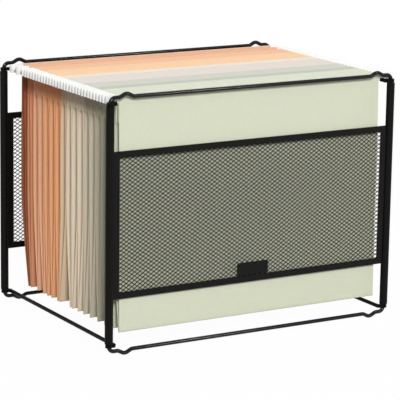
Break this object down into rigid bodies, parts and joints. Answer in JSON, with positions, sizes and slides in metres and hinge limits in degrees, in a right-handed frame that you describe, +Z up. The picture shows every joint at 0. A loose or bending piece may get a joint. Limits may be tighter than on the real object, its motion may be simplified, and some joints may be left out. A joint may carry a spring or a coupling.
{
  "type": "portable file box",
  "caption": "Open black wire file box with mesh panels, hinged side rails and hanging folders in sage, sand and clay.",
  "frame": {"origin": "centre of the bounding box at table level", "axes": "+X to the right along the front panel, -Y out of the front, +Z up"},
  "size_m": [0.3306, 0.2402, 0.258],
  "materials": {
    "black_paint": "satin",
    "hanger_coat": "satin",
    "paper_sage": "matte",
    "paper_sand": "matte",
    "paper_clay": "matte"
  },
  "bodies": {
    "root": {"back_wire_loop": "black_paint", "back_left_sleeve": "black_paint", "back_right_sleeve": "black_paint", "back_mesh": "black_paint", "back_mesh_edging": "black_paint"},
    "left_side": {"left_upper_rail": "black_paint", "left_lower_rail": "black_paint"},
    "right_side": {"right_upper_rail": "black_paint", "right_lower_rail": "black_paint"},
    "front_panel": {"front_wire_loop": "black_paint", "front_left_sleeve": "black_paint", "front_right_sleeve": "black_paint", "front_mesh": "black_paint", "front_mesh_edging": "black_paint", "front_label_plate": "black_paint"},
    "folder_01": {"folder_01_paper": "paper_sage", "folder_01_bars": "hanger_coat"},
    "folder_02": {"folder_02_paper": "paper_sage", "folder_02_bars": "hanger_coat"},
    "folder_03": {"folder_03_paper": "paper_sage", "folder_03_bars": "hanger_coat"},
    "folder_04": {"folder_04_paper": "paper_sage", "folder_04_bars": "hanger_coat"},
    "folder_05": {"folder_05_paper": "paper_sage", "folder_05_bars": "hanger_coat"},
    "folder_06": {"folder_06_paper": "paper_sage", "folder_06_bars": "hanger_coat"},
    "folder_07": {"folder_07_paper": "paper_sand", "folder_07_bars": "hanger_coat"},
    "folder_08": {"folder_08_paper": "paper_sand", "folder_08_bars": "hanger_coat"},
    "folder_09": {"folder_09_paper": "paper_sand", "folder_09_bars": "hanger_coat"},
    "folder_10": {"folder_10_paper": "paper_sand", "folder_10_bars": "hanger_coat"},
    "folder_11": {"folder_11_paper": "paper_clay", "folder_11_bars": "hanger_coat"},
    "folder_12": {"folder_12_paper": "paper_clay", "folder_12_bars": "hanger_coat"},
    "folder_13": {"folder_13_paper": "paper_clay", "folder_13_bars": "hanger_coat"},
    "folder_14": {"folder_14_paper": "paper_clay", "folder_14_bars": "hanger_coat"},
    "folder_15": {"folder_15_paper": "paper_clay", "folder_15_bars": "hanger_coat"},
    "folder_16": {"folder_16_paper": "paper_clay", "folder_16_bars": "hanger_coat"},
    "folder_17": {"folder_17_paper": "paper_clay", "folder_17_bars": "hanger_coat"}
  },
  "joints": [
    {"name": "left_side_fold", "type": "hinge", "parent": "root", "child": "left_side", "pos_m": [-0.1612, 0.116, 0.005], "axis": [0, 0, 1], "range_deg": [-20, 20]},
    {"name": "right_side_fold", "type": "hinge", "parent": "root", "child": "right_side", "pos_m": [0.1612, 0.116, 0.005], "axis": [0, 0, 1], "range_deg": [-20, 20]},
    {"name": "front_panel_fold", "type": "hinge", "parent": "left_side", "child": "front_panel", "pos_m": [-0.1612, -0.116, 0.005], "axis": [0, 0, 1], "range_deg": [-20, 20]},
    {"name": "folder_01_hang", "type": "hinge", "parent": "left_side", "child": "folder_01", "pos_m": [-0.1612, -0.1071, 0.005], "axis": [0, 0, 1], "range_deg": [-20, 20]},
    {"name": "folder_02_hang", "type": "hinge", "parent": "left_side", "child": "folder_02", "pos_m": [-0.1612, -0.0947, 0.005], "axis": [0, 0, 1], "range_deg": [-20, 20]},
    {"name": "folder_03_hang", "type": "hinge", "parent": "left_side", "child": "folder_03", "pos_m": [-0.1612, -0.0823, 0.005], "axis": [0, 0, 1], "range_deg": [-20, 20]},
    {"name": "folder_04_hang", "type": "hinge", "parent": "left_side", "child": "folder_04", "pos_m": [-0.1612, -0.0699, 0.005], "axis": [0, 0, 1], "range_deg": [-20, 20]},
    {"name": "folder_05_hang", "type": "hinge", "parent": "left_side", "child": "folder_05", "pos_m": [-0.1612, -0.0575, 0.005], "axis": [0, 0, 1], "range_deg": [-20, 20]},
    {"name": "folder_06_hang", "type": "hinge", "parent": "left_side", "child": "folder_06", "pos_m": [-0.1612, -0.0451, 0.005], "axis": [0, 0, 1], "range_deg": [-20, 20]},
    {"name": "folder_07_hang", "type": "hinge", "parent": "left_side", "child": "folder_07", "pos_m": [-0.1612, -0.0327, 0.005], "axis": [0, 0, 1], "range_deg": [-20, 20]},
    {"name": "folder_08_hang", "type": "hinge", "parent": "left_side", "child": "folder_08", "pos_m": [-0.1612, -0.0203, 0.005], "axis": [0, 0, 1], "range_deg": [-20, 20]},
    {"name": "folder_09_hang", "type": "hinge", "parent": "left_side", "child": "folder_09", "pos_m": [-0.1612, -0.0079, 0.005], "axis": [0, 0, 1], "range_deg": [-20, 20]},
    {"name": "folder_10_hang", "type": "hinge", "parent": "left_side", "child": "folder_10", "pos_m": [-0.1612, 0.0045, 0.005], "axis": [0, 0, 1], "range_deg": [-20, 20]},
    {"name": "folder_11_hang", "type": "hinge", "parent": "left_side", "child": "folder_11", "pos_m": [-0.1612, 0.0169, 0.005], "axis": [0, 0, 1], "range_deg": [-20, 20]},
    {"name": "folder_12_hang", "type": "hinge", "parent": "left_side", "child": "folder_12", "pos_m": [-0.1612, 0.0293, 0.005], "axis": [0, 0, 1], "range_deg": [-20, 20]},
    {"name": "folder_13_hang", "type": "hinge", "parent": "left_side", "child": "folder_13", "pos_m": [-0.1612, 0.0417, 0.005], "axis": [0, 0, 1], "range_deg": [-20, 20]},
    {"name": "folder_14_hang", "type": "hinge", "parent": "left_side", "child": "folder_14", "pos_m": [-0.1612, 0.0541, 0.005], "axis": [0, 0, 1], "range_deg": [-20, 20]},
    {"name": "folder_15_hang", "type": "hinge", "parent": "left_side", "child": "folder_15", "pos_m": [-0.1612, 0.0665, 0.005], "axis": [0, 0, 1], "range_deg": [-20, 20]},
    {"name": "folder_16_hang", "type": "hinge", "parent": "left_side", "child": "folder_16", "pos_m": [-0.1612, 0.0821, 0.005], "axis": [0, 0, 1], "range_deg": [-20, 20]},
    {"name": "folder_17_hang", "type": "hinge", "parent": "left_side", "child": "folder_17", "pos_m": [-0.1612, 0.0957, 0.005], "axis": [0, 0, 1], "range_deg": [-20, 20]}
  ],
  "couplings": [
    {"joint": "right_side_fold", "follows": "left_side_fold", "ratio": 1},
    {"joint": "front_panel_fold", "follows": "left_side_fold", "ratio": -1},
    {"joint": "folder_01_hang", "follows": "left_side_fold", "ratio": -1},
    {"joint": "folder_02_hang", "follows": "left_side_fold", "ratio": -1},
    {"joint": "folder_03_hang", "follows": "left_side_fold", "ratio": -1},
    {"joint": "folder_04_hang", "follows": "left_side_fold", "ratio": -1},
    {"joint": "folder_05_hang", "follows": "left_side_fold", "ratio": -1},
    {"joint": "folder_06_hang", "follows": "left_side_fold", "ratio": -1},
    {"joint": "folder_07_hang", "follows": "left_side_fold", "ratio": -1},
    {"joint": "folder_08_hang", "follows": "left_side_fold", "ratio": -1},
    {"joint": "folder_09_hang", "follows": "left_side_fold", "ratio": -1},
    {"joint": "folder_10_hang", "follows": "left_side_fold", "ratio": -1},
    {"joint": "folder_11_hang", "follows": "left_side_fold", "ratio": -1},
    {"joint": "folder_12_hang", "follows": "left_side_fold", "ratio": -1},
    {"joint": "folder_13_hang", "follows": "left_side_fold", "ratio": -1},
    {"joint": "folder_14_hang", "follows": "left_side_fold", "ratio": -1},
    {"joint": "folder_15_hang", "follows": "left_side_fold", "ratio": -1},
    {"joint": "folder_16_hang", "follows": "left_side_fold", "ratio": -1},
    {"joint": "folder_17_hang", "follows": "left_side_fold", "ratio": -1}
  ]
}
